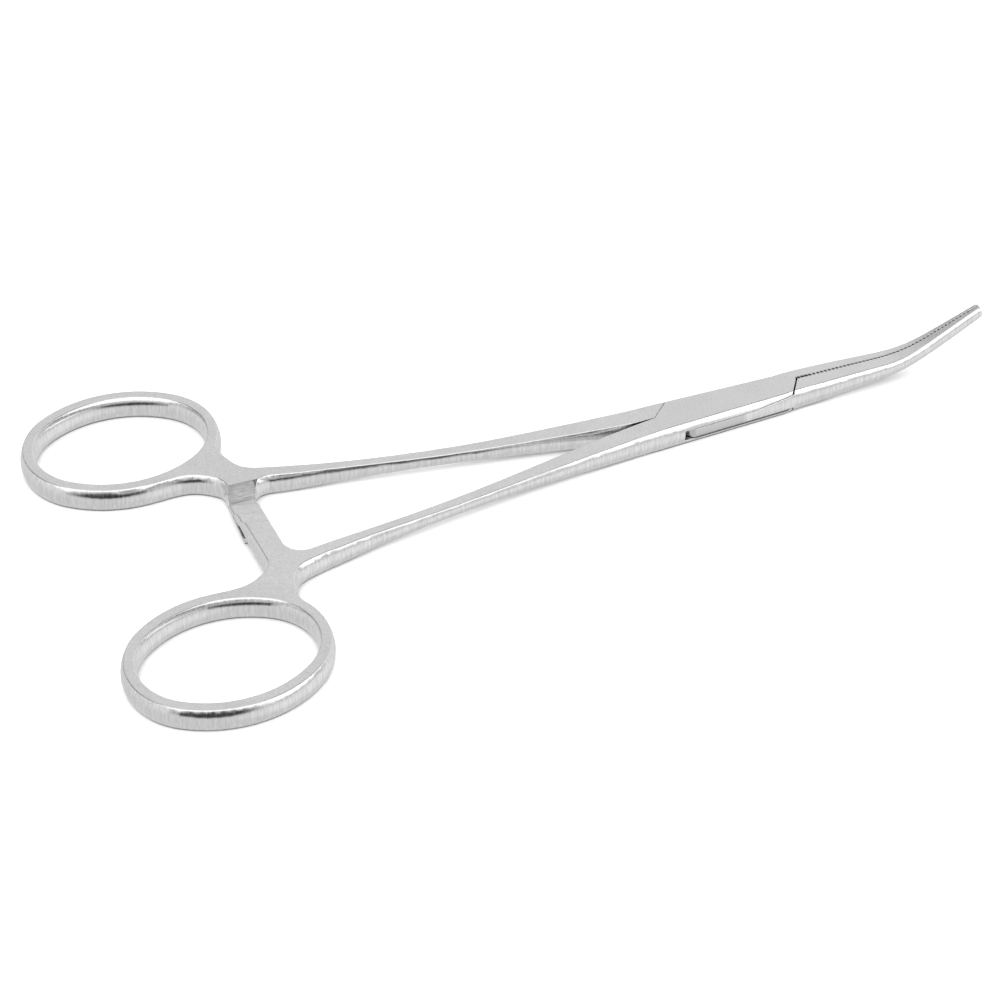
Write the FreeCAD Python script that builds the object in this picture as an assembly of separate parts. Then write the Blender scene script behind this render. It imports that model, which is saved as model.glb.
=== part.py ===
import FreeCAD, Part
import math
import os

# Curved box-lock haemostatic forceps, closed on its ratchet.
# Millimetres. The origin is on the pivot's axis at the level of the table, +X runs to the
# jaws' tip, +Y to the far ring and +Z up, the way that the jaws curve.
# The female half has the near ring, the box and the far jaw.
# The male half has the far ring, the web inside the box and the near jaw.

Vector = FreeCAD.Vector
UP = Vector(0, 0, 1)

# Sides swell out halfway up, by these shares of the thickness
outer_bulge = 0.117
inner_bulge = 0.093
outline_steps = 8

# Right side of the ratchet arms, from which the handles are laid out
arm_right_x = -69.9

# Finger rings: flat band round an oval hole of four arcs
ring_to_arm = 13.8
ring_centre_y = 24.05
ring_hole_length = 24.9
ring_hole_width = 19.7
ring_hole_end_radius = 8.6
ring_band = 1.4
ring_thickness = 3.6
ring_tilt = math.radians(-3.0)
root_leaves_at = math.radians(-26)
root_arrives_at = math.radians(276)
root_overlap = math.radians(3)

# Shank roots, where the rings' plate thins down to the shanks
root_start_to_arm = 1.6
root_end_to_arm = 6.9
root_stub = 3.0
shank_start_outer = 9.55
shank_start_inner = 8.1
shank_start_thickness = 3.05
fillet_middle = (0.2, 2.25)
fillet_high = (-1.15, 4.6)
fillet_low = (2.9, 1.0)
ring_to_arm_fillet = [(-2.5, 3.35), (-0.75, 2.05)]
crotch_radius = 2.8

# Shanks: share of the way to the box, outer edge, inner edge and thickness
shank_stations = [
    (0.175, 7.92, 6.62, 2.25),
    (0.35, 6.58, 5.12, 1.75),
    (0.525, 5.33, 3.60, 1.90),
    (0.70, 4.32, 2.10, 2.50),
    (0.855, 3.52, 0.85, 3.10),
]

# Box lock
box_start_x = -11.5
box_end_x = 8.5
box_thickness = 3.75
box_start_half_width = 2.95
box_end_near = 1.83
box_end_far = 2.66
lower_plate = 0.8
upper_plate = 1.25
web_clearance = 0.05
shank_gap = 0.06
pin_radius = 1.25
pin_clearance = 0.05

# Steps in the box's outline, where one half ends against the other
step_outer_y = 2.6
back_step_inner_x = -11.6
back_step_outer_x = -8.92
back_step_gap = 0.1
front_step_inner_x = 11.8
front_step_outer_x = 9.4
front_step_gap = 0.3

# Corners of the slot in the box and of the web inside it
slot_corner_x = 8.1
slot_corner_y = 2.4
slot_back_room = 0.3
web_corner_x = 7.6
web_corner_y = 2.0
web_corner_slant = 1.0
web_back_room = 0.2
web_rise = 0.275
web_rise_lean = 0.5
web_rise_start = 4.05

# Jaws: place along their curve, far and near half width, thickness
jaw_line_y = 0.95
jaw_bend_start = 16.5
jaw_bend_radius = 20.6
jaw_bend_angle = math.radians(22.8)
jaw_length = 33.7
jaw_stations = [
    (5.5, 1.85, 2.43, 3.40),
    (9.5, 1.70, 2.28, 3.15),
    (13.5, 1.48, 2.13, 2.85),
    (17.5, 1.23, 2.02, 2.45),
    (21.6, 0.95, 1.62, 2.20),
    (25.8, 0.75, 1.18, 2.15),
    (30.0, 0.64, 0.82, 2.10),
]
jaw_tip_half_width = 0.52
jaw_tip_thickness = 1.9
jaw_tip_round = 0.45
jaw_keel_inset = 0.15
jaw_gap = 0.1

# Cross serrations on the jaw faces, and the smooth gap behind them
tooth_start = 5.3
tooth_end_margin = 0.9
tooth_pitch = 0.63
tooth_land = 0.17
tooth_depth = 0.21
tooth_fade = 0.6
relief_gap = 0.3

# Ratchet arms
arm_width = 3.35
arm_lean = 0.4
arm_root_y = 8.8
arm_root_inset = 0.25
upper_arm_tip_y = 6.0
lower_arm_tip_y = -0.4
ratchet_level = 1.7
ratchet_gap = 0.08
ratchet_pitch = 2.5
ratchet_depth = 0.42
ratchet_count = 3
ratchet_lead = 0.5
ratchet_side_gap = 0.1

# Wall at the lower arm's root, and the upper arm's root and stepped nose: place along Y, drop
lower_wall_top_y = 8.45
lower_wall_middle = (7.15, 1.25)
lower_wall_foot_y = 6.55
lower_wall_reach = 1.5
upper_root_y = 8.4
upper_root_level = 0.6
nose_steps = [
    (-1.8, -0.09),
    (-0.55, 0.03),
    (-0.1, 0.47),
    (2.05, 0.42),
    (2.5, 0.92),
    (4.75, 0.88),
    (5.35, 1.65),
    (7.6, 1.75),
]
nose_round = 0.45
nose_skew = -0.25

# Reach of cutting tools past what they cut
over = 1.0
beyond = 60.0

# Places that follow from the values above
ring_centre_x = arm_right_x - ring_to_arm
arm_left_x = arm_right_x - arm_width
arm_middle_x = arm_right_x - arm_width / 2
shank_root_x = arm_right_x - root_start_to_arm
shank_start_x = arm_right_x + root_end_to_arm
ring_swell = outer_bulge * ring_thickness


def place(x, y, z=0.0):
    return Vector(x, y, z)


def line(p, q):
    return Part.LineSegment(p, q).toShape()


def arc(p, middle, q):
    return Part.Arc(p, middle, q).toShape()


def spline(points, start, end):
    """A smooth curve through the points, with its direction given at both ends."""
    curve = Part.BSplineCurve()
    curve.interpolate(Points=points, InitialTangent=start, FinalTangent=end)
    return curve.toShape()


def polygon(corners):
    """A closed wire through the corners, at the level of the table."""
    points = [place(x, y) for x, y in corners]
    return Part.makePolygon(points + points[:1])


def prism(wire, low, high):
    face = Part.Face(wire.translated(UP * low))
    return face.extrude(UP * (high - low))


def crossing(p, along_p, q, along_q):
    """Where two lines in plan meet."""
    apart = q - p
    turn = along_p.x * along_q.y - along_p.y * along_q.x
    share = (apart.x * along_q.y - apart.y * along_q.x) / turn
    return p + along_p * share


def corner_arc(before, corner, after, radius):
    """Start, middle and end of the arc that rounds a corner between straight sides."""
    back = (before - corner).normalize()
    on = (after - corner).normalize()
    half = back.getAngle(on) / 2
    reach = radius / math.tan(half)
    inward = (back + on).normalize()
    middle = corner + inward * (radius / math.sin(half) - radius)
    return corner + back * reach, middle, corner + on * reach


def rounded_run(points, radius):
    """Edges of an open run of straight lines with all its inner corners rounded."""
    edges = []
    start = points[0]
    for before, corner, after in zip(points, points[1:], points[2:]):
        first, middle, last = corner_arc(before, corner, after, radius)
        edges.append(line(start, first))
        edges.append(arc(first, middle, last))
        start = last
    edges.append(line(start, points[-1]))
    return edges


def outward(edge, where):
    """Normal that points out of an outline that runs anticlockwise."""
    tangent = edge.tangentAt(where)
    return Vector(tangent.y, -tangent.x, 0).normalize()


def widened(edges, distance):
    """The same anticlockwise outline, every edge moved out by the distance."""
    joints = []
    for before, after in zip(edges[-1:] + edges[:-1], edges):
        first = outward(before, before.LastParameter)
        second = outward(after, after.FirstParameter)
        shift = (first + second) * (distance / (1 + first.dot(second)))
        joints.append(after.valueAt(after.FirstParameter) + shift)
    result = []
    for index, edge in enumerate(edges):
        start = joints[index]
        end = joints[(index + 1) % len(joints)]
        if isinstance(edge.Curve, Part.Line):
            result.append(line(start, end))
            continue
        first, last = edge.ParameterRange
        inner = []
        for step in range(1, outline_steps):
            where = first + (last - first) * step / outline_steps
            inner.append(edge.valueAt(where) + outward(edge, where) * distance)
        if isinstance(edge.Curve, Part.Circle):
            result.append(arc(start, inner[len(inner) // 2], end))
        else:
            run = [start, *inner, end]
            result.append(spline(run, edge.tangentAt(first), edge.tangentAt(last)))
    return result


def swollen(edges, thickness, swell):
    """A plate with flat faces whose sides swell out halfway up."""
    bottom = Part.Wire(edges)
    middle = Part.Wire(widened(edges, swell))
    middle.translate(UP * (thickness / 2))
    top = bottom.translated(UP * thickness)
    return Part.makeLoft([bottom, middle, top], True, False)


def section(origin, normal, low_y, high_y, thickness, bulges, inset=0.0):
    """Cross-section with flat top and bottom and convex sides, hung below its origin."""
    low_bulge, high_bulge = bulges
    bottom = origin - normal * thickness
    top_low = origin + place(0, low_y)
    top_high = origin + place(0, high_y)
    bottom_low = bottom + place(0, low_y + inset)
    bottom_high = bottom + place(0, high_y - inset)
    middle_low = (top_low + bottom_low) * 0.5 - place(0, low_bulge * thickness + inset / 2)
    middle_high = (top_high + bottom_high) * 0.5 + place(0, high_bulge * thickness + inset / 2)
    edges = [
        line(bottom_low, bottom_high),
        arc(bottom_high, middle_high, top_high),
        line(top_high, top_low),
        arc(top_low, middle_low, bottom_low),
    ]
    return Part.Wire(edges)


def nearest_face(shape, point):
    return min(shape.Faces, key=lambda face: face.CenterOfMass.distanceToPoint(point))


def ring_oval(extra):
    """Centres, radii and tangent points of the ring's four-arc oval, widened by extra."""
    half_length = ring_hole_length / 2
    half_width = ring_hole_width / 2
    end_offset = half_length - ring_hole_end_radius
    rise = end_offset ** 2 + half_width ** 2 - ring_hole_end_radius ** 2
    side_radius = rise / (2 * (half_width - ring_hole_end_radius))
    side_offset = side_radius - half_width
    turn = math.atan2(side_offset, end_offset)
    return end_offset, side_offset, ring_hole_end_radius + extra, side_radius + extra, turn


def ring_point(x, y):
    """A point given from the ring's centre, turned to the ring's tilt."""
    turned_x = x * math.cos(ring_tilt) - y * math.sin(ring_tilt)
    turned_y = x * math.sin(ring_tilt) + y * math.cos(ring_tilt)
    return place(ring_centre_x + turned_x, ring_centre_y + turned_y)


def oval_point(centre_x, centre_y, radius, angle):
    return ring_point(centre_x + radius * math.cos(angle), centre_y + radius * math.sin(angle))


def oval_arc(centre_x, centre_y, radius, start, end):
    middle = (start + end) / 2
    return arc(*(oval_point(centre_x, centre_y, radius, angle) for angle in (start, middle, end)))


def leaning(angle):
    """Direction in which an arc of the ring runs at an angle."""
    return place(-math.sin(angle + ring_tilt), math.cos(angle + ring_tilt))


def handle_outline(arm_tip_y):
    """Edge of the flat face of ring, shank root and ratchet arm, for the far half."""
    end_offset, side_offset, end_radius, side_radius, turn = ring_oval(ring_band)
    ring = [
        oval_arc(end_offset, 0, end_radius, root_leaves_at, turn),
        oval_arc(0, -side_offset, side_radius, turn, math.pi - turn),
        oval_arc(-end_offset, 0, end_radius, math.pi - turn, math.pi + turn),
        oval_arc(0, side_offset, side_radius, math.pi + turn, root_arrives_at),
    ]
    ring_start = ring[0].Vertexes[0].Point
    ring_end = ring[3].Vertexes[-1].Point
    share, next_outer, next_inner, _ = shank_stations[0]
    run = share * (box_start_x - shank_start_x)
    outer_way = place(run, next_outer - shank_start_outer)
    inner_way = place(run, next_inner - shank_start_inner)
    outer_corner = place(shank_start_x, shank_start_outer)
    inner_corner = place(shank_start_x, shank_start_inner)
    stub_outer = outer_corner + outer_way * (root_stub / run)
    stub_inner = inner_corner + inner_way * (root_stub / run)
    outer_fillet = spline(
        [
            outer_corner,
            outer_corner + place(fillet_low[0] - root_end_to_arm, fillet_low[1]),
            place(arm_right_x + fillet_middle[0], shank_start_outer + fillet_middle[1]),
            place(arm_right_x + fillet_high[0], shank_start_outer + fillet_high[1]),
            ring_start,
        ],
        outer_way * -1,
        leaning(root_leaves_at),
    )
    arm_root_left = place(arm_left_x + arm_root_inset, arm_root_y)
    inner_points = [ring_end]
    for x, y in ring_to_arm_fillet:
        inner_points.append(place(arm_left_x + x, arm_root_y + y))
    inner_points.append(arm_root_left)
    inner_fillet = spline(inner_points, leaning(root_arrives_at), place(0.05, -1))
    tip_left = place(arm_left_x - arm_root_inset, arm_tip_y)
    tip_right = place(arm_right_x - arm_lean, arm_tip_y)
    arm_way = place(arm_lean, arm_root_y - arm_tip_y)
    corner = crossing(tip_right, arm_way, inner_corner, inner_way)
    crotch_start, crotch_middle, crotch_end = corner_arc(
        tip_right, corner, inner_corner, crotch_radius)
    return [
        line(stub_outer, outer_corner),
        outer_fillet,
        *ring,
        inner_fillet,
        line(arm_root_left, tip_left),
        line(tip_left, tip_right),
        line(tip_right, crotch_start),
        arc(crotch_start, crotch_middle, crotch_end),
        line(crotch_end, stub_inner),
        line(stub_inner, stub_outer),
    ]


def root_wedge():
    """The sector round the shank root, from which the ring's band goes on as turned pieces."""
    end_offset, side_offset, end_radius, side_radius, _ = ring_oval(0)
    leave = root_leaves_at + root_overlap
    arrive = root_arrives_at - root_overlap
    depth = ring_hole_end_radius / 2
    corners = [
        oval_point(end_offset, 0, end_radius - depth, leave),
        oval_point(end_offset, 0, beyond, leave),
        oval_point(0, side_offset, beyond, arrive),
        oval_point(0, side_offset, side_radius - depth, arrive),
    ]
    return prism(Part.makePolygon(corners + corners[:1]), -over, ring_thickness + over)


def hole_tool(centre_x, centre_y, radius, start, end):
    """Part of the finger hole, with sides that swell into it, turned about an arc's centre."""
    centre = ring_point(centre_x, centre_y)
    away = oval_point(centre_x, centre_y, 1, start) - centre
    inner = away * (radius - ring_hole_end_radius * 0.8)
    edge = away * radius
    middle = away * (radius - ring_swell) + UP * (ring_thickness / 2)
    top = UP * ring_thickness
    rim = [
        line(inner - UP * over, edge - UP * over),
        line(edge - UP * over, edge),
        arc(edge, middle, edge + top),
        line(edge + top, edge + top + UP * over),
        line(edge + top + UP * over, inner + top + UP * over),
        line(inner + top + UP * over, inner - UP * over),
    ]
    face = Part.Face(Part.Wire(rim).translated(centre))
    return face.revolve(centre, UP, math.degrees(end - start))


def ring_pieces(root):
    """The ring's band, turned from one cut face of the root round to the other."""
    end_offset, side_offset, end_radius, _, turn = ring_oval(ring_band / 2)
    leave = root_leaves_at + root_overlap
    arrive = root_arrives_at - root_overlap
    where = oval_point(end_offset, 0, end_radius, leave) + UP * (ring_thickness / 2)
    face = nearest_face(root, where)
    pieces = []
    for centre_x, centre_y, start, end in (
        (end_offset, 0, leave, turn),
        (0, -side_offset, turn, math.pi - turn),
        (-end_offset, 0, math.pi - turn, math.pi + turn),
        (0, side_offset, math.pi + turn, arrive),
    ):
        centre = ring_point(centre_x, centre_y)
        pieces.append(face.revolve(centre, UP, math.degrees(end - start)))
        face = face.rotated(centre, UP, math.degrees(end - start))
    return pieces


def side_tool(edges, low_x, high_x, skew=0.0):
    """A tool with its outline given at the arms' middle, drawn out along X."""
    shift = place(low_x - arm_middle_x, skew * (low_x - arm_middle_x))
    face = Part.Face(Part.Wire(edges).translated(shift))
    return face.extrude(place(high_x - low_x, skew * (high_x - low_x)))


def arm_points(points):
    """Points given as (y, z), set at the arms' middle."""
    return [Vector(arm_middle_x, y, z) for y, z in points]


def closed_run(points):
    points = arm_points(points)
    return [line(p, q) for p, q in zip(points, points[1:] + points[:1])]


def root_taper(level, drop, outside):
    """Tool that thins the shank root from one side, along an arc."""
    start = place(shank_root_x, 0, level)
    end = place(shank_start_x, 0, level + drop)
    middle = (start + end) * 0.5 - UP * (drop / 4)
    outer_end = place(shank_start_x, 0, outside)
    outer_start = place(shank_root_x, 0, outside)
    rim = [
        arc(start, middle, end),
        line(end, outer_end),
        line(outer_end, outer_start),
        line(outer_start, start),
    ]
    return Part.Face(Part.Wire(rim)).extrude(place(0, beyond))


def lower_arm_space():
    """Everything above the lower arm's toothed top, from its tip to the wall at its root."""
    crest = ratchet_level - ratchet_gap / 2
    valley = crest - ratchet_depth
    tip_y = upper_arm_tip_y + ratchet_lead
    steps = [(lower_wall_foot_y, crest)]
    for index in range(ratchet_count):
        step_y = tip_y - ratchet_pitch * (index + 1) - ratchet_side_gap
        steps.append((step_y, valley))
        steps.append((step_y, crest))
    last_y = step_y - ratchet_pitch
    steps.append((last_y, valley))
    steps.append((last_y, ring_thickness + over))
    steps.append((lower_wall_top_y, ring_thickness + over))
    steps.append((lower_wall_top_y, ring_thickness))
    points = arm_points(steps)
    middle_y, middle_drop = lower_wall_middle
    middle = Vector(arm_middle_x, middle_y, ring_thickness - middle_drop)
    edges = [line(p, q) for p, q in zip(points, points[1:])]
    edges.append(arc(points[-1], middle, points[0]))
    return side_tool(edges, arm_left_x - 2 * over, arm_right_x + lower_wall_reach)


def upper_arm_space():
    """Everything below the upper arm's toothed underside, from its tip to its root."""
    crest = ratchet_level + ratchet_gap / 2
    valley = crest + ratchet_depth
    tip_y = upper_arm_tip_y + ratchet_lead
    steps = [(tip_y + over, -over), (tip_y + over, valley), (tip_y, valley)]
    for index in range(ratchet_count):
        step_y = tip_y - ratchet_pitch * (index + 1)
        steps.append((step_y, crest))
        if index < ratchet_count - 1:
            steps.append((step_y, valley))
    steps.append((over - upper_root_y, upper_root_level))
    steps.append((-upper_root_y, -over))
    return side_tool(closed_run(steps), arm_left_x - 2 * over, arm_right_x + 2 * lower_wall_reach)


def upper_arm_nose():
    """Everything above the upper arm's end, which steps down in rounded ridges."""
    points = arm_points([(y, ring_thickness - drop) for y, drop in nose_steps])
    above = arm_points([(y, ring_thickness + 2 * over) for y, _ in (nose_steps[-1], nose_steps[0])])
    edges = rounded_run(points, nose_round)
    corners = [points[-1], *above, points[0]]
    edges.extend(line(p, q) for p, q in zip(corners, corners[1:]))
    return side_tool(edges, arm_left_x - 2 * over, arm_right_x + 2 * over, nose_skew)


def mirrored(shape):
    return shape.mirror(Vector(0, 0, 0), Vector(0, 1, 0))


def handle(arm_tip_y):
    """Ring, arm and shank root of the far half, with the arm still as thick as the ring."""
    end_offset, side_offset, end_radius, side_radius, turn = ring_oval(0)
    plate = swollen(handle_outline(arm_tip_y), ring_thickness, ring_swell)
    drop = (ring_thickness - shank_start_thickness) / 2
    tools = [
        hole_tool(0, side_offset, side_radius, 1.5 * math.pi, 2 * math.pi - turn),
        hole_tool(end_offset, 0, end_radius, -turn, root_leaves_at + 3 * root_overlap),
        root_taper(ring_thickness, -drop, ring_thickness + over),
        root_taper(0, drop, -over),
        Part.makeBox(beyond, beyond, beyond, place(shank_start_x, -beyond / 2, -beyond / 2)),
    ]
    root = plate.common(root_wedge()).cut(tools)
    return root.fuse(ring_pieces(root))


def shank(root):
    """Shank of the far half, from the cut end of its root to the box."""
    middle_y = (shank_start_outer + shank_start_inner) / 2
    start = nearest_face(root, place(shank_start_x, middle_y, ring_thickness / 2))
    sections = [start.OuterWire]
    last = (1.0, box_start_half_width, shank_gap / 2, box_thickness)
    for share, outer, inner, thickness in shank_stations + [last]:
        x = shank_start_x + share * (box_start_x - shank_start_x)
        middle = (ring_thickness + share * (box_thickness - ring_thickness)) / 2
        origin = place(x, 0, middle + thickness / 2)
        bulges = (min(inner_bulge, inner / (3 * thickness)), outer_bulge)
        sections.append(section(origin, UP, inner, outer, thickness, bulges))
    return Part.makeLoft(sections, True, False)


def jaw_frame(along):
    """Point and normal of the jaws' top, at a length along its curve."""
    bend_length = jaw_bend_radius * jaw_bend_angle
    turned = min(max(0.0, along - jaw_bend_start), bend_length)
    bend = turned / jaw_bend_radius
    straight = min(along, jaw_bend_start)
    rest = max(0.0, along - jaw_bend_start - bend_length)
    x = box_end_x + straight + jaw_bend_radius * math.sin(bend) + rest * math.cos(bend)
    z = box_thickness + jaw_bend_radius * (1 - math.cos(bend)) + rest * math.sin(bend)
    return place(x, 0, z), Vector(-math.sin(bend), 0, math.cos(bend))


def closed_body():
    """Box and both jaws as one block, before it is parted into the two halves."""
    both = (outer_bulge, outer_bulge)
    start = place(box_start_x, 0, box_thickness)
    end = place(box_end_x, 0, box_thickness)
    half = box_start_half_width
    start_section = section(start, UP, -half, half, box_thickness, both)
    end_section = section(end, UP, -box_end_near, box_end_far, box_thickness, both)
    box = Part.makeLoft([start_section, end_section], True, True)
    jaw_sections = [end_section]
    tip = (jaw_length, jaw_tip_half_width, jaw_tip_half_width, jaw_tip_thickness)
    for along, far, near, thickness in jaw_stations + [tip]:
        origin, normal = jaw_frame(along)
        inset = jaw_keel_inset * min(1.0, along / jaw_bend_start)
        low = jaw_line_y - near
        high = jaw_line_y + far
        jaw_sections.append(section(origin, normal, low, high, thickness, both, inset))
    jaws = Part.makeLoft(jaw_sections, True, False)
    tip_origin, tip_normal = jaw_frame(jaw_length)
    middle = tip_origin + place(0, jaw_line_y) - tip_normal * (jaw_tip_thickness / 2)
    jaws = jaws.makeFillet(jaw_tip_round, nearest_face(jaws, middle).Edges)
    return box.fuse(jaws).removeSplitter()


def step_x(y, inner_x, inner_y, outer_x, outer_y):
    """Where a step line through its inner and outer ends stands at y."""
    return inner_x + (outer_x - inner_x) * (y - inner_y) / (outer_y - inner_y)


def male_regions(back_gap, front_gap, side_gap):
    """Plan outlines of the male half's full-height shank end and near jaw, grown by the gaps."""
    edge = 2 * step_outer_y
    low = shank_gap / 2 - side_gap
    inner = back_step_inner_x + back_gap
    outer = back_step_outer_x + back_gap
    shank_end = polygon([
        (box_start_x - over, low),
        (step_x(low, inner, 0, outer, step_outer_y), low),
        (step_x(edge, inner, 0, outer, step_outer_y), edge),
        (box_start_x - over, edge),
    ])
    face_y = jaw_line_y - jaw_gap / 2 + side_gap
    inner = front_step_inner_x - front_gap
    outer = front_step_outer_x - front_gap
    near_jaw = polygon([
        (step_x(face_y, inner, jaw_line_y, outer, -step_outer_y), face_y),
        (step_x(-edge, inner, jaw_line_y, outer, -step_outer_y), -edge),
        (beyond, -edge),
        (beyond, face_y),
    ])
    return shank_end, near_jaw


def web_outline(corner_x, corner_y, slant, back_x, front_x):
    """Plan outline of the web, or of the slot round it."""
    edge = 2 * step_outer_y
    edge_x = corner_x - slant * (edge - corner_y)
    return polygon([
        (-edge_x, -edge),
        (-corner_x, -corner_y),
        (back_x, shank_gap / 2),
        (box_start_x - over, shank_gap / 2),
        (box_start_x - over, edge),
        (edge_x, edge),
        (corner_x, corner_y),
        (front_x, jaw_line_y - jaw_gap / 2),
        (front_step_inner_x + over, jaw_line_y - jaw_gap / 2),
        (front_step_inner_x + over, -edge),
    ])


def web_layer(outline, low, high):
    """Level layer between the box's plates, that rises towards its near front corner."""
    corners = []
    for x, y in ((-beyond, -beyond), (beyond, -beyond), (beyond, beyond), (-beyond, beyond)):
        corners.append(place(x, y, high + web_rise * (web_rise_lean * x - y - web_rise_start)))
    above = Part.Face(Part.makePolygon(corners + corners[:1])).extrude(UP * (2 * beyond))
    rising = prism(outline, low, box_thickness).cut(above)
    return prism(outline, low, high).fuse(rising)


def jaw_grooves():
    """Diamond-shaped grooves that cross both jaw faces, and the smooth gap behind them."""
    grooves = []
    half = (tooth_pitch - tooth_land) / 2
    toothed = jaw_length - tooth_end_margin - tooth_start
    for index in range(int(toothed / tooth_pitch)):
        where = tooth_pitch * index
        deep = tooth_depth * (1 - tooth_fade * where / toothed) + jaw_gap / 2
        origin, normal = jaw_frame(tooth_start + where)
        along = Vector(normal.z, 0, -normal.x)
        centre = origin + place(0, jaw_line_y) + normal
        corners = [
            centre + along * half,
            centre + place(0, deep),
            centre - along * half,
            centre - place(0, deep),
        ]
        face = Part.Face(Part.makePolygon(corners + corners[:1]))
        grooves.append(face.extrude(normal * -(box_thickness + 2 * over)))
    start_x = front_step_inner_x - front_step_gap
    relief = polygon([
        (start_x, jaw_line_y - relief_gap / 2),
        (box_end_x + tooth_start, jaw_line_y - relief_gap / 2),
        (box_end_x + tooth_start, jaw_line_y + relief_gap / 2),
        (start_x, jaw_line_y + relief_gap / 2),
    ])
    grooves.append(prism(relief, -over, box_thickness + over))
    return grooves


def pin(radius):
    return Part.makeCylinder(radius, box_thickness)


def female_half(block, grooves):
    root = handle(-upper_arm_tip_y)
    spine = mirrored(root.fuse(shank(root)).removeSplitter())
    spine = spine.cut([upper_arm_space(), upper_arm_nose()])
    shank_end, near_jaw = male_regions(back_step_gap, front_step_gap, jaw_gap)
    slot = web_outline(slot_corner_x, slot_corner_y, 0, box_start_x - slot_back_room,
                       front_step_inner_x)
    tools = [
        prism(shank_end, -over, box_thickness + over),
        prism(near_jaw, -over, beyond),
        web_layer(slot, lower_plate, box_thickness - upper_plate),
        pin(pin_radius),
    ]
    front = block.cut(tools).cut(grooves)
    return spine.fuse(front).removeSplitter()


def male_half(block, grooves):
    root = handle(lower_arm_tip_y)
    spine = root.fuse(shank(root)).removeSplitter()
    spine = spine.cut(lower_arm_space())
    shank_end, near_jaw = male_regions(0, 0, 0)
    low = lower_plate + web_clearance
    high = box_thickness - upper_plate - web_clearance
    web = web_outline(web_corner_x, web_corner_y, web_corner_slant,
                      back_step_inner_x - web_back_room, front_step_inner_x)
    shoulder = block.common(prism(shank_end, -over, box_thickness + over))
    blade = block.common(web_layer(web, low, high)).cut(pin(pin_radius + pin_clearance))
    jaw = block.common(prism(near_jaw, -over, beyond)).cut(grooves)
    return spine.fuse([shoulder, blade, jaw]).removeSplitter()


def main():
    os.makedirs("parts", exist_ok=True)
    block = closed_body()
    grooves = jaw_grooves()
    nodes = {
        "female_half": female_half(block, grooves),
        "male_half": male_half(block, grooves),
        "pivot_pin": pin(pin_radius),
    }
    for name, shape in nodes.items():
        print(name, "solids", len(shape.Solids), "volume", round(shape.Volume, 1))
        shape.exportStep(f"parts/{name}.step")


main()
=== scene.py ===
import math

import bpy
from bpy.props import (
    FloatProperty,
    FloatVectorProperty,
    PointerProperty,
)
from mathutils import Matrix, Vector


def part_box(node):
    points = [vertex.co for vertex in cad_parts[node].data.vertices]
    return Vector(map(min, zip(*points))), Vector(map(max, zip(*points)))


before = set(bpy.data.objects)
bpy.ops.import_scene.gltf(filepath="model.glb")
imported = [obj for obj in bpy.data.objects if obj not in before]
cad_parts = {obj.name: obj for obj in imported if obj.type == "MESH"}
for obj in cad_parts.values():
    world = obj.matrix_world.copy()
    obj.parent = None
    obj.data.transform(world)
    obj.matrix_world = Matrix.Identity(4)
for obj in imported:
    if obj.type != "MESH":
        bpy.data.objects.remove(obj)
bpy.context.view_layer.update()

bl_info = {
    "name": "Box lock forceps finish",
    "version": (1, 0, 0),
    "blender": (4, 5, 0),
    "location": "3D View > Sidebar > Forceps",
    "description": "Steel finishes and a studio for curved box lock forceps",
    "category": "Object",
}

# Places on the halves, in metres in the object's frame
ARM_RANGE = (-0.0745, -0.0692)
ARM_HALF_SPAN = 0.0085
WEB_RANGE = (-0.0078, 0.0016)
PLATE_SEAM_RANGE = (-0.0066, 0.0092)
PLATE_SEAM_HEIGHT = (0.0006, 0.00098)
JAW_LINE_Y = 0.00095
RELIEF_START = 0.0114
FIRST_TOOTH = 0.0138
LAST_TOOTH = 0.032
TOOTH_PITCH = 0.00063
TOOTH_HALF_WIDTH = 0.00032
FLUSH_MARGIN = 0.0003

# Shares of the painted shade in the tooth gaps: their wave, first and last gap, smooth part, and
# full dark inside
GAP_WAVE = (-0.5, 0.9)
GAP_SHARES = (1.0, 0.25)
SMOOTH_SHARE = 0.6
DARK_SHARE = 0.7

# Lengths over which the masks of these places fade, in metres
ARM_FADE = 0.0001
SPAN_FADE = 0.0006
WEB_FADE = 0.0005
SEAM_END_FADE = 0.0004
SEAM_FADE = 0.00006

# Colours that the steel is mixed towards, among them a painted highlight on the edges and painted
# shade in the seams and gaps, and the share of that painted shade over the lower plate's seam
EDGE_HIGHLIGHT_COLOR = (0.95, 0.95, 0.95)
WEB_COLOR = (0.62, 0.62, 0.62)
GAP_SHADE_COLOR = (0.02, 0.02, 0.02)
PLATE_SEAM_SHADE_SHARE = 0.85

# The part of a noise that is used, and the brightness it is spread over
NOISE_SPAN = (0.3, 0.7)
SCORE_SPAN = (0.35, 0.65)
DAPPLE_TONES = (0.88, 1.06)
CLOUD_TONES = (0.96, 1.02)
STREAK_TONES = (0.9, 1.05)
SCORE_TONES = (0.72, 1.08)
ROUGHNESS_WANDER = (-0.03, 0.04)
NOISE_ROUGHNESS = 0.6
BUMP_STRENGTH = 0.3
BUMP_DISTANCE = 0.00005

# Bend at an edge for the painted highlight, depth of a hollow for the painted seam shade, and turn
# of a face along the arms, where masks begin and end
EDGE_BEND = (0.99, 0.85)
HOLLOW_DEPTH = (0.8, 0.35)
ENDWAYS_TURN = (0.5, 0.7)
BEVEL_SAMPLES = 8
HOLLOW_SAMPLES = 6
FADE_IN = (0.0, 1.0)
FADE_OUT = (1.0, 0.0)

# Heights in the light tent, in degrees, and its brightness there
TENT_HEIGHTS = (-40.0, 30.0)
TENT_TONES = (0.72, 1.0)

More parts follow.
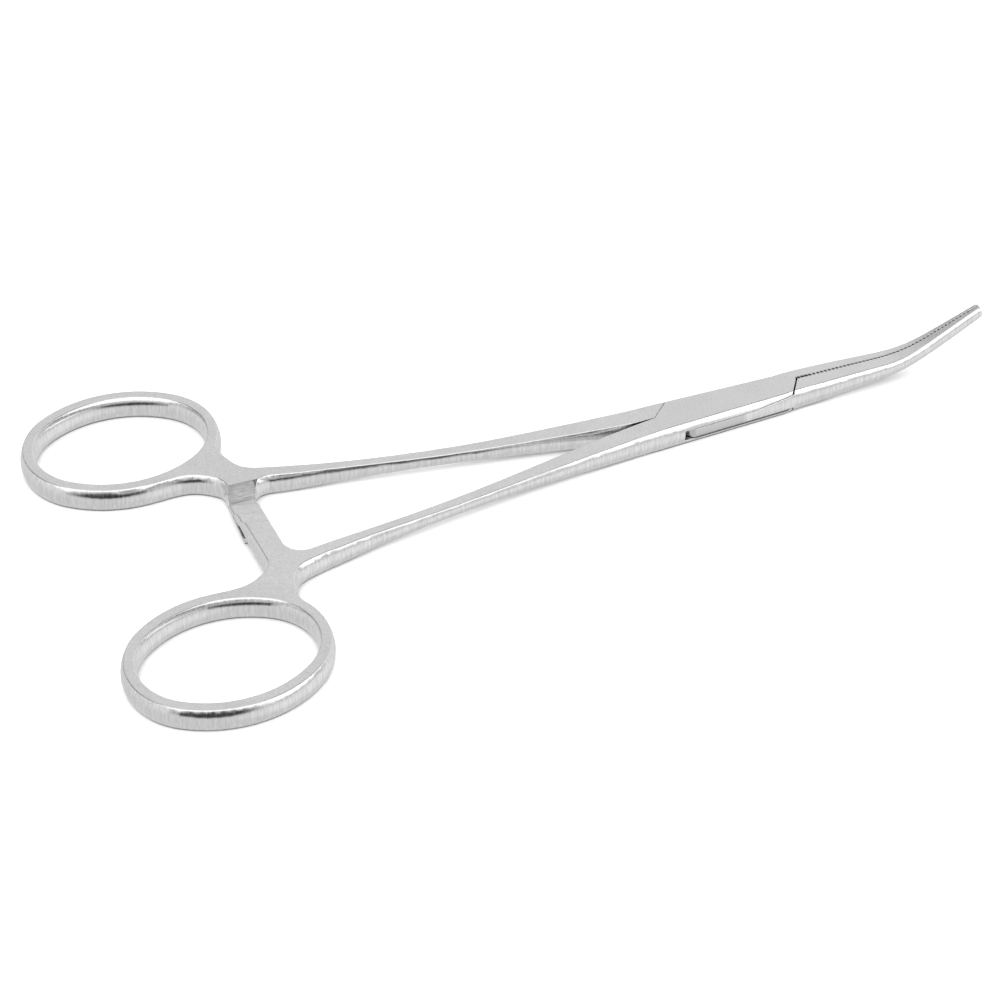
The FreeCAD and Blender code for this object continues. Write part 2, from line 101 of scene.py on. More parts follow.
# Heading and height of the centre, half width, half height, softness, brightness
SKY_PATCHES = (
    (85.0, -33.0, 55.0, 16.0, 0.6, 0.92),
    (80.0, -15.0, 42.0, 2.4, 0.4, 0.55),
    (0.0, 12.0, 118.0, 15.0, 0.12, 1.7),
    (80.0, 0.0, 40.0, 11.0, 0.15, 1.7),
    (2.0, -10.0, 34.0, 10.5, 0.35, 0.03),
    (90.0, 47.0, 52.0, 32.0, 0.2, 0.06),
    (-100.0, 32.0, 55.0, 28.0, 0.2, 0.08),
)

# Softbox in metres and watts, floor, and camera in millimetres and metres
SOFTBOX_PLACE = (-0.03, 0.0, 0.6)
SOFTBOX_AIM = (-0.03, 0.0, 0.0)
SOFTBOX_SIDE = 2.0
SOFTBOX_POWER = 18.0
FLOOR_ROUGHNESS = 0.9
FLOOR_SPECULAR = 0.1
SENSOR_WIDTH = 36.0
NEAREST_SEEN = 0.01
FARTHEST_SEEN = 10.0


# Settings


class ForcepsSteelSettings(bpy.types.PropertyGroup):
    flat_color: FloatVectorProperty(
        name="Flat colour",
        description="Colour of the satin flats on top and underneath",
        subtype="COLOR",
        size=3,
        min=0.0,
        max=1.0,
        default=(0.71, 0.71, 0.71),
    )
    side_color: FloatVectorProperty(
        name="Side colour",
        description="Colour of the polished, rounded sides",
        subtype="COLOR",
        size=3,
        min=0.0,
        max=1.0,
        default=(0.80, 0.80, 0.80),
    )
    flat_roughness: FloatProperty(
        name="Flat roughness",
        description="Roughness of the satin flats",
        subtype="FACTOR",
        min=0.0,
        max=1.0,
        default=0.42,
    )
    side_roughness: FloatProperty(
        name="Side roughness",
        description="Roughness of the polished sides",
        subtype="FACTOR",
        min=0.0,
        max=1.0,
        default=0.14,
    )
    # The edge radius also sets how wide the painted highlight along the edges is
    edge_radius: FloatProperty(
        name="Edge radius",
        description="How far the sharp edges look broken by polishing",
        subtype="DISTANCE",
        unit="LENGTH",
        min=0.0,
        max=0.001,
        default=0.00024,
    )
    grain_size: FloatProperty(
        name="Grain size",
        description="Size of the blasted grain on the flats",
        subtype="DISTANCE",
        unit="LENGTH",
        min=0.00001,
        max=0.01,
        default=0.00022,
    )


class ForcepsStageSettings(bpy.types.PropertyGroup):
    camera_azimuth: FloatProperty(
        name="Camera azimuth",
        description="Heading of the camera, 0 looks along +Y and 90 along -X",
        subtype="ANGLE",
        unit="ROTATION",
        default=math.radians(-22.632),
    )
    camera_elevation: FloatProperty(
        name="Camera elevation",
        description="Height of the camera above the horizon",
        subtype="ANGLE",
        unit="ROTATION",
        default=math.radians(38.787),
    )
    camera_roll: FloatProperty(
        name="Camera roll",
        description="Turn of the camera about its own line of sight",
        subtype="ANGLE",
        unit="ROTATION",
        default=math.radians(0.279),
    )
    camera_distance: FloatProperty(
        name="Camera distance",
        description="Distance from the camera to the point it looks at",
        subtype="DISTANCE",
        unit="LENGTH",
        min=0.01,
        default=0.41524,
    )
    camera_target: FloatVectorProperty(
        name="Camera target",
        description="Point the camera looks at",
        subtype="XYZ",
        unit="LENGTH",
        size=3,
        default=(-0.03909, -0.00893, 0.0036),
    )
    camera_lens: FloatProperty(
        name="Lens",
        description="Focal length on a 36 mm wide sensor",
        unit="CAMERA",
        min=1.0,
        default=108.12,
    )
    opening_heading: FloatProperty(
        name="Opening heading",
        description="Heading of the light tent's dark opening, from +X towards +Y",
        subtype="ANGLE",
        unit="ROTATION",
        default=math.radians(-112.6),
    )
    floor_size: FloatProperty(
        name="Floor size",
        description="Side of the square floor",
        subtype="DISTANCE",
        unit="LENGTH",
        min=0.1,
        default=1.6,
    )
    floor_color: FloatVectorProperty(
        name="Floor colour",
        description="Colour of the pale floor",
        subtype="COLOR",
        size=3,
        min=0.0,
        max=1.0,
        default=(0.93, 0.93, 0.93),
    )


# Node helpers


def add_node(tree, kind, x, y, **values):
    """Puts a node at a place in a tree and sets its own values."""
    node = tree.nodes.new(kind)
    node.location = (x, y)
    for name, value in values.items():
        setattr(node, name, value)
    return node


def new_group(name, inputs, outputs):
    """A shader node group with the given sockets, and its two end nodes."""
    group = bpy.data.node_groups.new(name, "ShaderNodeTree")
    for label, kind, default in inputs:
        socket = group.interface.new_socket(name=label, in_out="INPUT", socket_type=kind)
        socket.default_value = default
    for label, kind in outputs:
        group.interface.new_socket(name=label, in_out="OUTPUT", socket_type=kind)
    start = add_node(group, "NodeGroupInput", -900, 0)
    end = add_node(group, "NodeGroupOutput", 900, 0)
    return group, start, end


def place_group(tree, name, x, y, **values):
    """Puts a shared group in a tree and sets its own values."""
    node = add_node(tree, "ShaderNodeGroup", x, y, node_tree=bpy.data.node_groups[name])
    for label, value in values.items():
        node.inputs[label.replace("_", " ")].default_value = value
    return node


def feed(tree, socket, value):
    """Links a socket to another one, or gives it a number or a colour."""
    if isinstance(value, (int, float)):
        socket.default_value = value
    elif isinstance(value, tuple):
        socket.default_value = (*value, 1.0)
    else:
        tree.links.new(value, socket)


def math_node(tree, operation, x, y, *values):
    """The result of a sum or comparison of links or numbers."""
    node = add_node(tree, "ShaderNodeMath", x, y, operation=operation)
    for socket, value in zip(node.inputs, values):
        feed(tree, socket, value)
    return node.outputs[0]


def ranged(tree, value, low, high, to_low, to_high, x, y, kind="SMOOTHSTEP"):
    """Maps a value from one range to another, smoothly unless the kind says otherwise."""
    node = add_node(tree, "ShaderNodeMapRange", x, y, interpolation_type=kind)
    for name, number in (
        ("Value", value),
        ("From Min", low),
        ("From Max", high),
        ("To Min", to_low),
        ("To Max", to_high),
    ):
        feed(tree, node.inputs[name], number)
    return node.outputs["Result"]


def mixed(tree, kind, first, second, factor, x, y, **values):
    """Mixes one colour or number towards another by a mask."""
    node = add_node(tree, "ShaderNodeMix", x, y, data_type=kind, **values)
    for name, value in (("A", first), ("B", second), ("Factor", factor)):
        feed(tree, node.inputs[name], value)
    return node.outputs["Result"]


def stretch_mask(tree, value, limits, softness, x, y):
    """Mask of the values between two limits."""
    node = place_group(tree, "Stretch", x, y, From=limits[0], To=limits[1], Softness=softness)
    tree.links.new(value, node.inputs["Value"])
    return node.outputs["Mask"]


# Shared groups


def flat_face_group():
    """Masks of the flats ground on top and underneath, and of faces turned along the arms."""
    group, start, end = new_group(
        "Ground flats",
        [
            ("Normal", "NodeSocketVector", (0.0, 0.0, 1.0)),
            ("Threshold", "NodeSocketFloat", 0.86),
            ("Softness", "NodeSocketFloat", 0.03),
        ],
        [("Mask", "NodeSocketFloat"), ("Lengthways", "NodeSocketFloat")],
    )
    turn = add_node(
        group, "ShaderNodeVectorTransform", -500, 200,
        vector_type="NORMAL", convert_from="WORLD", convert_to="OBJECT",
    )
    group.links.new(start.outputs["Normal"], turn.inputs[0])
    parts = add_node(group, "ShaderNodeSeparateXYZ", -300, 200)
    group.links.new(turn.outputs[0], parts.inputs[0])
    upright = math_node(group, "ABSOLUTE", -100, 200, parts.outputs["Z"])
    threshold = start.outputs["Threshold"]
    softness = start.outputs["Softness"]
    low = math_node(group, "SUBTRACT", -100, 0, threshold, softness)
    high = math_node(group, "ADD", -100, -150, threshold, softness)
    mask = ranged(group, upright, low, high, *FADE_IN, 200, 100)
    group.links.new(mask, end.inputs["Mask"])
    endways = math_node(group, "ABSOLUTE", -100, -300, parts.outputs["X"])
    lengthways = ranged(group, endways, *ENDWAYS_TURN, *FADE_OUT, 200, -300)
    group.links.new(lengthways, end.inputs["Lengthways"])


def stretch_group():
    """Mask of a stretch between two values, such as a length of the object along X."""
    group, start, end = new_group(
        "Stretch",
        [
            ("Value", "NodeSocketFloat", 0.0),
            ("From", "NodeSocketFloat", 0.0),
            ("To", "NodeSocketFloat", 1.0),
            ("Softness", "NodeSocketFloat", 0.0001),
        ],
        [("Mask", "NodeSocketFloat")],
    )
    value = start.outputs["Value"]
    softness = start.outputs["Softness"]
    sides = []
    for row, (name, tones) in enumerate((("From", FADE_IN), ("To", FADE_OUT))):
        y = -400 * row
        low = math_node(group, "SUBTRACT", -500, y, start.outputs[name], softness)
        high = math_node(group, "ADD", -500, y - 180, start.outputs[name], softness)
        sides.append(ranged(group, value, low, high, *tones, -200, y))
    mask = math_node(group, "MULTIPLY", 300, -100, *sides)
    group.links.new(mask, end.inputs["Mask"])


def grain_group():
    """Blasted grain, grinding marks along X and across the sides, and soft clouds."""
    group, start, end = new_group(
        "Blasted grain",
        [("Size", "NodeSocketFloat", 0.0002)],
        [
            ("Grain", "NodeSocketFloat"),
            ("Marks", "NodeSocketFloat"),
            ("Streaks", "NodeSocketFloat"),
            ("Clouds", "NodeSocketFloat"),
        ],
    )
    place = add_node(group, "ShaderNodeTexCoord", -900, 300)
    scale = math_node(group, "DIVIDE", -700, 0, 1.0, start.outputs["Size"])
    for row, (output, stretch, detail) in enumerate((
        ("Grain", (1.0, 1.0, 1.0), 3.0),
        ("Marks", (0.12, 1.0, 1.0), 4.0),
        ("Streaks", (0.8, 0.8, 0.08), 3.0),
        ("Clouds", (0.03, 0.03, 0.03), 3.0),
    )):
        y = 300 - 300 * row
        mapping = add_node(group, "ShaderNodeMapping", -600, y)
        mapping.inputs["Scale"].default_value = stretch
        group.links.new(place.outputs["Object"], mapping.inputs["Vector"])
        noise = add_node(group, "ShaderNodeTexNoise", -300, y)
        noise.inputs["Detail"].default_value = detail
        noise.inputs["Roughness"].default_value = NOISE_ROUGHNESS
        group.links.new(mapping.outputs[0], noise.inputs["Vector"])
        group.links.new(scale, noise.inputs["Scale"])
        group.links.new(noise.outputs["Fac"], end.inputs[output])


def edge_group():
    """Rounds the look of sharp edges, away from the flush pin, and gives masks of the edges for a
    painted highlight and of deep seams for painted shade.
    """
    group, start, end = new_group(
        "Rounded edges, painted highlight and seam shade",
        [
            ("Radius", "NodeSocketFloat", 0.0001),
            ("Seam", "NodeSocketFloat", 0.0006),
            ("Flush Radius", "NodeSocketFloat", 0.001),
        ],
        [
            ("Normal", "NodeSocketVector"),
            ("Edge", "NodeSocketFloat"),
            ("Seam", "NodeSocketFloat"),
        ],
    )
    bevel = add_node(group, "ShaderNodeBevel", -900, 300, samples=BEVEL_SAMPLES)
    group.links.new(start.outputs["Radius"], bevel.inputs["Radius"])
    geometry = add_node(group, "ShaderNodeNewGeometry", -900, 100)
    place = add_node(group, "ShaderNodeTexCoord", -1300, 500)
    level = add_node(group, "ShaderNodeVectorMath", -1100, 500, operation="MULTIPLY")
    level.inputs[1].default_value = (1.0, 1.0, 0.0)
    group.links.new(place.outputs["Object"], level.inputs[0])
    reach = add_node(group, "ShaderNodeVectorMath", -900, 500, operation="LENGTH")
    group.links.new(level.outputs[0], reach.inputs[0])
    within = math_node(
        group, "LESS_THAN", -700, 500, reach.outputs["Value"], start.outputs["Flush Radius"],
    )
    normal = mixed(
        group, "VECTOR", bevel.outputs[0], geometry.outputs["Normal"], within, -500, 300,
    )
    dot = add_node(group, "ShaderNodeVectorMath", -300, 200, operation="DOT_PRODUCT")
    group.links.new(normal, dot.inputs[0])
    group.links.new(geometry.outputs["Normal"], dot.inputs[1])
    # Mask of sharp edges, for a painted highlight
    edge_highlight = ranged(group, dot.outputs["Value"], *EDGE_BEND, *FADE_IN, 0, 200)
    # Painted shade: deep seams, found by occlusion, are marked for darkening
    hollow = add_node(group, "ShaderNodeAmbientOcclusion", -600, -200, samples=HOLLOW_SAMPLES)
    group.links.new(start.outputs["Seam"], hollow.inputs["Distance"])
    seam_shade = ranged(group, hollow.outputs["AO"], *HOLLOW_DEPTH, *FADE_IN, 0, -100)
    group.links.new(normal, end.inputs["Normal"])
    group.links.new(edge_highlight, end.inputs["Edge"])
    group.links.new(seam_shade, end.inputs["Seam"])


def tooth_line_shade_group():
    """Mask of painted shade along the line between the jaws, and of the row of tooth gaps that
    dots it.
    """
    group, start, end = new_group(
        "Tooth line shade",
        [
            ("Line", "NodeSocketFloat", 0.001),
            ("Smooth From", "NodeSocketFloat", 0.01),
            ("First Tooth", "NodeSocketFloat", 0.013),
            ("Last Tooth", "NodeSocketFloat", 0.03),
            ("Pitch", "NodeSocketFloat", 0.0006),
            ("Half Width", "NodeSocketFloat", 0.0002),
        ],
        [("Mask", "NodeSocketFloat")],
    )
    first = start.outputs["First Tooth"]
    last = start.outputs["Last Tooth"]
    pitch = start.outputs["Pitch"]
    place = add_node(group, "ShaderNodeTexCoord", -1300, 0)
    parts = add_node(group, "ShaderNodeSeparateXYZ", -1100, 0)
    group.links.new(place.outputs["Object"], parts.inputs[0])
    along, across, _ = parts.outputs
    away = math_node(group, "SUBTRACT", -900, 200, across, start.outputs["Line"])
    apart = math_node(group, "ABSOLUTE", -700, 200, away)
    past_first = math_node(group, "SUBTRACT", -900, -100, along, first)
    turns = math_node(group, "DIVIDE", -700, -100, past_first, pitch)
    angle = math_node(group, "MULTIPLY", -500, -100, turns, 2 * math.pi)
    wave = math_node(group, "COSINE", -300, -100, angle)
    swell = ranged(group, wave, *GAP_WAVE, *FADE_IN, -100, -100)
    fading = ranged(group, along, first, last, *GAP_SHARES, -500, -400, "LINEAR")
    dots = math_node(group, "MULTIPLY", 100, -200, swell, fading)
    toothless = math_node(group, "SUBTRACT", -500, -700, first, pitch)
    smooth = math_node(group, "LESS_THAN", -300, -700, along, toothless)
    smooth = math_node(group, "MULTIPLY", -100, -700, smooth, SMOOTH_SHARE)
    share = math_node(group, "MAXIMUM", 300, -300, dots, smooth)
    width = math_node(group, "MULTIPLY", 450, -100, share, start.outputs["Half Width"])
    inner = math_node(group, "MULTIPLY", 500, -300, width, DARK_SHARE)
    # Painted shade across the line, fully dark in its inner part
    line_shade = ranged(group, apart, inner, width, *FADE_OUT, 650, 100)
    begun = math_node(group, "GREATER_THAN", 300, -600, along, start.outputs["Smooth From"])
    going = math_node(group, "LESS_THAN", 300, -800, along, last)
    inside = math_node(group, "MULTIPLY", 500, -600, begun, going)
    mask = math_node(group, "MULTIPLY", 800, 100, line_shade, inside)
    group.links.new(mask, end.inputs["Mask"])


def light_patch_group():
    """Mask of a soft oval patch of the sky, given by heading and height in degrees."""
    group, start, end = new_group(
        "Light patch",
        [
            ("Heading", "NodeSocketFloat", 0.0),
            ("Height", "NodeSocketFloat", 0.0),
            ("Centre Heading", "NodeSocketFloat", 0.0),
            ("Centre Height", "NodeSocketFloat", 0.0),
            ("Half Width", "NodeSocketFloat", 30.0),
            ("Half Height", "NodeSocketFloat", 10.0),
            ("Softness", "NodeSocketFloat", 0.15),
        ],
        [("Mask", "NodeSocketFloat")],
    )
    squares = []
    for row, (value, centre, half) in enumerate((
        ("Heading", "Centre Heading", "Half Width"),
        ("Height", "Centre Height", "Half Height"),
    )):
        y = -200 * row
        away = math_node(group, "SUBTRACT", -600, y, start.outputs[value], start.outputs[centre])
        share = math_node(group, "DIVIDE", -400, y, away, start.outputs[half])
        squares.append(math_node(group, "MULTIPLY", -200, y, share, share))
    total = math_node(group, "ADD", 0, 0, *squares)
    radius = math_node(group, "SQRT", 150, 0, total)
    inside = math_node(group, "SUBTRACT", 150, -200, 1.0, start.outputs["Softness"])
    outside = math_node(group, "ADD", 150, -350, 1.0, start.outputs["Softness"])
    mask = ranged(group, radius, inside, outside, *FADE_OUT, 400, 0)
    group.links.new(mask, end.inputs["Mask"])


# Steel


def ratchet_mask(tree, along, across, lengthways, side):
    """Mask of the rounded ratchet teeth between the two arms."""
    limits = (-ARM_HALF_SPAN, ARM_HALF_SPAN)
    at_arm = stretch_mask(tree, along, ARM_RANGE, ARM_FADE, -1200, 1300)
    between = stretch_mask(tree, across, limits, SPAN_FADE, -1200, 1100)
    region = math_node(tree, "MULTIPLY", -900, 1200, at_arm, between)
    ratchet = math_node(tree, "MULTIPLY", -700, 1200, region, lengthways)
    return math_node(tree, "MULTIPLY", -500, 1200, ratchet, side)


def surface_tones(tree, grain, flat, teeth):
    """Brightness of the dappled flats, the streaked sides and the scored teeth."""
    dapple = ranged(tree, grain.outputs["Grain"], *NOISE_SPAN, *DAPPLE_TONES, -700, 250)
    patch = ranged(tree, grain.outputs["Clouds"], *NOISE_SPAN, *CLOUD_TONES, -700, 0)
    speck = math_node(tree, "MULTIPLY", -450, 200, dapple, patch)
    brushed = ranged(tree, grain.outputs["Streaks"], *NOISE_SPAN, *STREAK_TONES, -700, -250)
    scored = ranged(tree, grain.outputs["Marks"], *SCORE_SPAN, *SCORE_TONES, -700, -500)
    surface = mixed(tree, "FLOAT", brushed, speck, flat, -200, 200)
    return mixed(tree, "FLOAT", surface, scored, teeth, 0, 200)


def plate_seam_shade_mask(tree, along, height, side):
    """Mask of painted shade along the seam over the lower plate of the slot, on the sides of the
    box.
    """
    beside = stretch_mask(tree, along, PLATE_SEAM_RANGE, SEAM_END_FADE, 450, 1500)
    level = stretch_mask(tree, height, PLATE_SEAM_HEIGHT, SEAM_FADE, 450, 1300)
    seam_shade = math_node(tree, "MULTIPLY", 700, 1400, beside, level)
    seam_shade = math_node(tree, "MULTIPLY", 850, 1400, seam_shade, side)
    return math_node(tree, "MULTIPLY", 1000, 1500, seam_shade, PLATE_SEAM_SHADE_SHARE)


def jaw_line_shade_mask(tree):
    """Mask of painted shade along the line between the jaws, on faces that lie level."""
    line_shade = place_group(
        tree, "Tooth line shade", 450, 1800,
        Line=JAW_LINE_Y, Smooth_From=RELIEF_START, First_Tooth=FIRST_TOOTH,
        Last_Tooth=LAST_TOOTH, Pitch=TOOTH_PITCH, Half_Width=TOOTH_HALF_WIDTH,
    )
    geometry = add_node(tree, "ShaderNodeNewGeometry", 250, 2100)
    level = place_group(tree, "Ground flats", 450, 2100)
    tree.links.new(geometry.outputs["True Normal"], level.inputs["Normal"])
    return math_node(tree, "MULTIPLY", 850, 1700, line_shade.outputs["Mask"], level.outputs["Mask"])


def steel_material(name, settings, shows_web):
    """Satin flats and ratchet, polished sides, rounded edges with a painted highlight, and painted
    shade in the seams, in one steel.
    """
    material = bpy.data.materials.new(name)
    material.use_nodes = True
    tree = material.node_tree
    tree.nodes.clear()
    output = add_node(tree, "ShaderNodeOutputMaterial", 2300, 0)
    shader = add_node(tree, "ShaderNodeBsdfPrincipled", 2000, 0)
    tree.links.new(shader.outputs[0], output.inputs["Surface"])
    shader.inputs["Metallic"].default_value = 1.0

    pin_low, pin_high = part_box("pivot_pin")
    flush = (pin_high[0] - pin_low[0]) / 2 + FLUSH_MARGIN
    # Rounded edge normals, with masks for the painted edge highlight and the painted seam shade
    edges = place_group(
        tree, "Rounded edges, painted highlight and seam shade", -1500, -200, Radius=settings.edge_radius, Flush_Radius=flush,
    )
    flats = place_group(tree, "Ground flats", -1200, 500)
    tree.links.new(edges.outputs["Normal"], flats.inputs["Normal"])
    flat = flats.outputs["Mask"]
    side = math_node(tree, "SUBTRACT", -900, 900, 1.0, flat)
    grain = place_group(tree, "Blasted grain", -1200, 100, Size=settings.grain_size)
    place = add_node(tree, "ShaderNodeTexCoord", -1800, 900)
    parts = add_node(tree, "ShaderNodeSeparateXYZ", -1600, 900)
    tree.links.new(place.outputs["Object"], parts.inputs[0])
    along, across, height = parts.outputs
    teeth = ratchet_mask(tree, along, across, flats.outputs["Lengthways"], side)
    satin = math_node(tree, "MAXIMUM", -300, 1000, flat, teeth)

    side_color = tuple(settings.side_color)
    flat_color = tuple(settings.flat_color)
    color = mixed(tree, "RGBA", side_color, flat_color, flat, -700, 500)
    tones = surface_tones(tree, grain, flat, teeth)
    color = mixed(tree, "RGBA", color, tones, 1.0, 200, 450, blend_type="MULTIPLY")
    # Painted highlight: sharp edges are mixed towards near-white
    color = mixed(tree, "RGBA", color, EDGE_HIGHLIGHT_COLOR, edges.outputs["Edge"], 450, 400)
    if shows_web:
        at_web = stretch_mask(tree, along, WEB_RANGE, WEB_FADE, 200, 1200)
        web = math_node(tree, "MULTIPLY", 450, 900, side, at_web)
        color = mixed(tree, "RGBA", color, WEB_COLOR, web, 700, 500)
    # Painted shade: near-black in the seams found by occlusion, along the line and tooth gaps
    # between the jaws, and over the lower plate's seam
    plate_seam_shade = plate_seam_shade_mask(tree, along, height, side)
    gap_shade = math_node(tree, "MAXIMUM", 1000, 1300, edges.outputs["Seam"], jaw_line_shade_mask(tree))
    gap_shade = math_node(tree, "MAXIMUM", 1150, 1300, gap_shade, plate_seam_shade)
    color = mixed(tree, "RGBA", color, GAP_SHADE_COLOR, gap_shade, 1300, 400)
    tree.links.new(color, shader.inputs["Base Color"])

    rough = mixed(
        tree, "FLOAT", settings.side_roughness, settings.flat_roughness, satin, 200, 0,
    )
    wander = ranged(tree, grain.outputs["Streaks"], *NOISE_SPAN, *ROUGHNESS_WANDER, 200, -200)
    roughness = math_node(tree, "ADD", 450, 0, rough, wander)
    tree.links.new(roughness, shader.inputs["Roughness"])

    relief = mixed(
        tree, "FLOAT", grain.outputs["Grain"], grain.outputs["Marks"], teeth, 450, -400,
    )
    depth = math_node(tree, "MULTIPLY", 700, -300, relief, satin)
    bump = add_node(tree, "ShaderNodeBump", 1300, -250)
    bump.inputs["Strength"].default_value = BUMP_STRENGTH
    bump.inputs["Distance"].default_value = BUMP_DISTANCE
    tree.links.new(depth, bump.inputs["Height"])
    tree.links.new(edges.outputs["Normal"], bump.inputs["Normal"])
    tree.links.new(bump.outputs["Normal"], shader.inputs["Normal"])
    return material


def put_material(node, material):
    """Gives a piece its one material."""
    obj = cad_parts[node]
    obj.data.materials.clear()
    obj.data.materials.append(material)


# Stage


def build_floor(settings):
    """A pale square floor that the steel doesn't mirror."""
    half = settings.floor_size / 2
    mesh = bpy.data.meshes.new("floor")
    corners = [(-half, -half, 0), (half, -half, 0), (half, half, 0), (-half, half, 0)]
    mesh.from_pydata(corners, [], [(0, 1, 2, 3)])
    floor = bpy.data.objects.new("floor", mesh)
    bpy.context.scene.collection.objects.link(floor)
    material = bpy.data.materials.new("Pale floor")
    material.use_nodes = True
    shader = material.node_tree.nodes["Principled BSDF"]
    shader.inputs["Base Color"].default_value = (*settings.floor_color, 1.0)
    shader.inputs["Roughness"].default_value = FLOOR_ROUGHNESS
    shader.inputs["Specular IOR Level"].default_value = FLOOR_SPECULAR
    mesh.materials.append(material)
    floor.visible_glossy = False


def build_world(scene, settings):
    """A light tent: white above, paler below, dark flags at the sides and a dark opening."""
    light_patch_group()
    world = bpy.data.worlds.new("Studio")
    scene.world = world
    world.use_nodes = True
    tree = world.node_tree
    shade = tree.nodes["Background"]
    place = add_node(tree, "ShaderNodeTexCoord", -1900, 0)
    turn = add_node(tree, "ShaderNodeVectorRotate", -1700, 0, rotation_type="Z_AXIS")
    turn.inputs["Angle"].default_value = -settings.opening_heading
    tree.links.new(place.outputs["Generated"], turn.inputs["Vector"])
    parts = add_node(tree, "ShaderNodeSeparateXYZ", -1500, 0)
    tree.links.new(turn.outputs[0], parts.inputs[0])
    around = math_node(tree, "ARCTAN2", -1300, 150, parts.outputs["Y"], parts.outputs["X"])
    heading = math_node(tree, "DEGREES", -1100, 150, around)
    rise = math_node(tree, "ARCSINE", -1300, -50, parts.outputs["Z"])
    height = math_node(tree, "DEGREES", -1100, -50, rise)
    light = ranged(tree, height, *TENT_HEIGHTS, *TENT_TONES, -900, 300)
    for index, (side, up, half_width, half_height, softness, brightness) in enumerate(SKY_PATCHES):
        x = -700 + 300 * index
        patch = place_group(
            tree, "Light patch", x, -100, Centre_Heading=side, Centre_Height=up,
            Half_Width=half_width, Half_Height=half_height, Softness=softness,
        )
        tree.links.new(heading, patch.inputs["Heading"])
        tree.links.new(height, patch.inputs["Height"])
        light = mixed(tree, "FLOAT", light, brightness, patch.outputs["Mask"], x, 200)
    seen = add_node(tree, "ShaderNodeLightPath", 500, 500)
    plain = mixed(tree, "FLOAT", light, 1.0, seen.outputs["Is Camera Ray"], 1400, 200)
    tree.links.new(plain, shade.inputs["Strength"])
    shade.inputs["Color"].default_value = (1.0, 1.0, 1.0, 1.0)
    shade.location = (1600, 200)
    tree.nodes["World Output"].location = (1800, 200)


def build_softbox():
    """One softbox that only whitens the floor; the tent lights the steel."""
    light = bpy.data.lights.new("overhead_softbox", "AREA")
    light.shape = "RECTANGLE"
    light.size = SOFTBOX_SIDE
    light.size_y = SOFTBOX_SIDE
    light.energy = SOFTBOX_POWER
    obj = bpy.data.objects.new("overhead_softbox", light)
    bpy.context.scene.collection.objects.link(obj)
    obj.location = SOFTBOX_PLACE
    heading = Vector(SOFTBOX_AIM) - Vector(SOFTBOX_PLACE)
    obj.rotation_euler = heading.to_track_quat("-Z", "Y").to_euler()
    obj.visible_glossy = False


def build_camera(scene, settings):
    """The camera, set by heading, height and roll about the point it looks at."""
    camera = bpy.data.cameras.new("camera")
    camera.sensor_width = SENSOR_WIDTH
    camera.lens = settings.camera_lens
    camera.clip_start = NEAREST_SEEN
    camera.clip_end = FARTHEST_SEEN
    obj = bpy.data.objects.new("camera", camera)
    scene.collection.objects.link(obj)
    turn = -settings.camera_azimuth
    rise = settings.camera_elevation
    level = math.cos(rise)
    ahead = Vector((math.sin(turn) * level, math.cos(turn) * level, -math.sin(rise)))
    right = Vector((math.cos(turn), -math.sin(turn), 0.0))
    up = right.cross(ahead)
    roll = settings.camera_roll
    rolled_right = right * math.cos(roll) + up * math.sin(roll)
    rolled_up = up * math.cos(roll) - right * math.sin(roll)
    axes = Matrix((rolled_right, rolled_up, -ahead)).transposed()
    place = Vector(settings.camera_target) - ahead * settings.camera_distance
    obj.matrix_world = Matrix.Translation(place) @ axes.to_4x4()
    scene.camera = obj
    scene.view_settings.view_transform = "Standard"


# Operators


class FORCEPS_OT_shared_effects(bpy.types.Operator):
    """Build the grain, flat and edge effects that the steels share, with their painted highlight
    and painted shade
    """

    bl_idname = "forceps.shared_effects"
    bl_label = "Build shared effects"

    def execute(self, context):
        flat_face_group()
        stretch_group()
        grain_group()
        edge_group()
        tooth_line_shade_group()
        return {"FINISHED"}


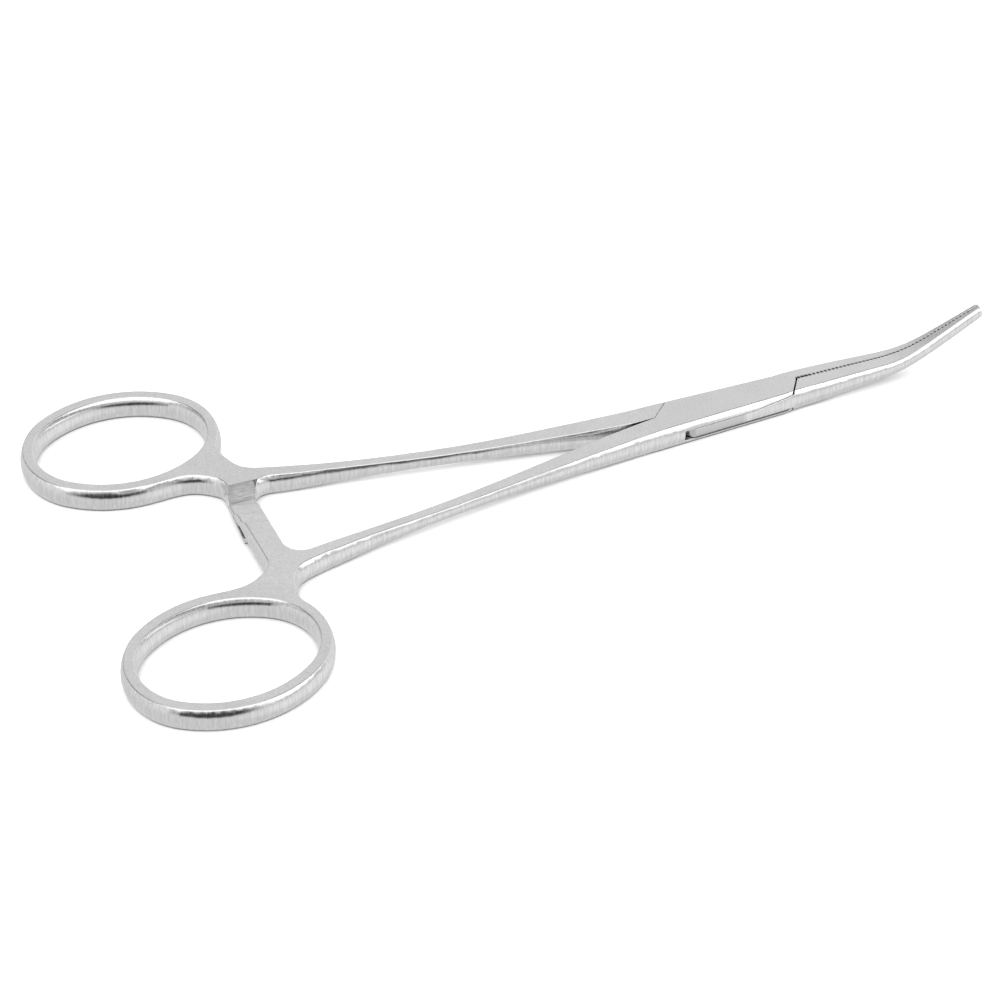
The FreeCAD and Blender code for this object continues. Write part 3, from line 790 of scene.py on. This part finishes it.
class FORCEPS_OT_finish_halves(bpy.types.Operator):
    """Give both halves satin flats and polished sides"""

    bl_idname = "forceps.finish_halves"
    bl_label = "Finish both halves"

    def execute(self, context):
        settings = context.scene.forceps_steel
        put_material("female_half", steel_material("Box half steel", settings, False))
        put_material("male_half", steel_material("Web half steel", settings, True))
        return {"FINISHED"}


class FORCEPS_OT_finish_pin(bpy.types.Operator):
    """Give the flush pivot pin its ground ends"""

    bl_idname = "forceps.finish_pin"
    bl_label = "Finish the pivot pin"

    def execute(self, context):
        settings = context.scene.forceps_steel
        put_material("pivot_pin", steel_material("Pin steel", settings, False))
        return {"FINISHED"}


class FORCEPS_OT_build_stage(bpy.types.Operator):
    """Lay the pale floor and set up soft light and the camera"""

    bl_idname = "forceps.build_stage"
    bl_label = "Build the stage"

    def execute(self, context):
        settings = context.scene.forceps_stage
        build_floor(settings)
        build_world(context.scene, settings)
        build_softbox()
        build_camera(context.scene, settings)
        return {"FINISHED"}


STEPS = (
    FORCEPS_OT_shared_effects,
    FORCEPS_OT_finish_halves,
    FORCEPS_OT_finish_pin,
    FORCEPS_OT_build_stage,
)


class FORCEPS_PT_panel(bpy.types.Panel):
    """Steps that dress the forceps, in order"""

    bl_idname = "FORCEPS_PT_panel"
    bl_label = "Forceps"
    bl_space_type = "VIEW_3D"
    bl_region_type = "UI"
    bl_category = "Forceps"

    def draw(self, context):
        layout = self.layout
        for settings in (context.scene.forceps_steel, context.scene.forceps_stage):
            for name in settings.bl_rna.properties.keys():
                if name not in ("rna_type", "name"):
                    layout.prop(settings, name)
        for step in STEPS:
            layout.operator(step.bl_idname)


CLASSES = (ForcepsSteelSettings, ForcepsStageSettings, *STEPS, FORCEPS_PT_panel)


def register():
    for cls in CLASSES:
        bpy.utils.register_class(cls)
    bpy.types.Scene.forceps_steel = PointerProperty(type=ForcepsSteelSettings)
    bpy.types.Scene.forceps_stage = PointerProperty(type=ForcepsStageSettings)


def unregister():
    del bpy.types.Scene.forceps_stage
    del bpy.types.Scene.forceps_steel
    for cls in reversed(CLASSES):
        bpy.utils.unregister_class(cls)


def main():
    register()
    bpy.ops.forceps.shared_effects()
    bpy.ops.forceps.finish_halves()
    bpy.ops.forceps.finish_pin()
    bpy.ops.forceps.build_stage()


if __name__ == "__main__":
    main()
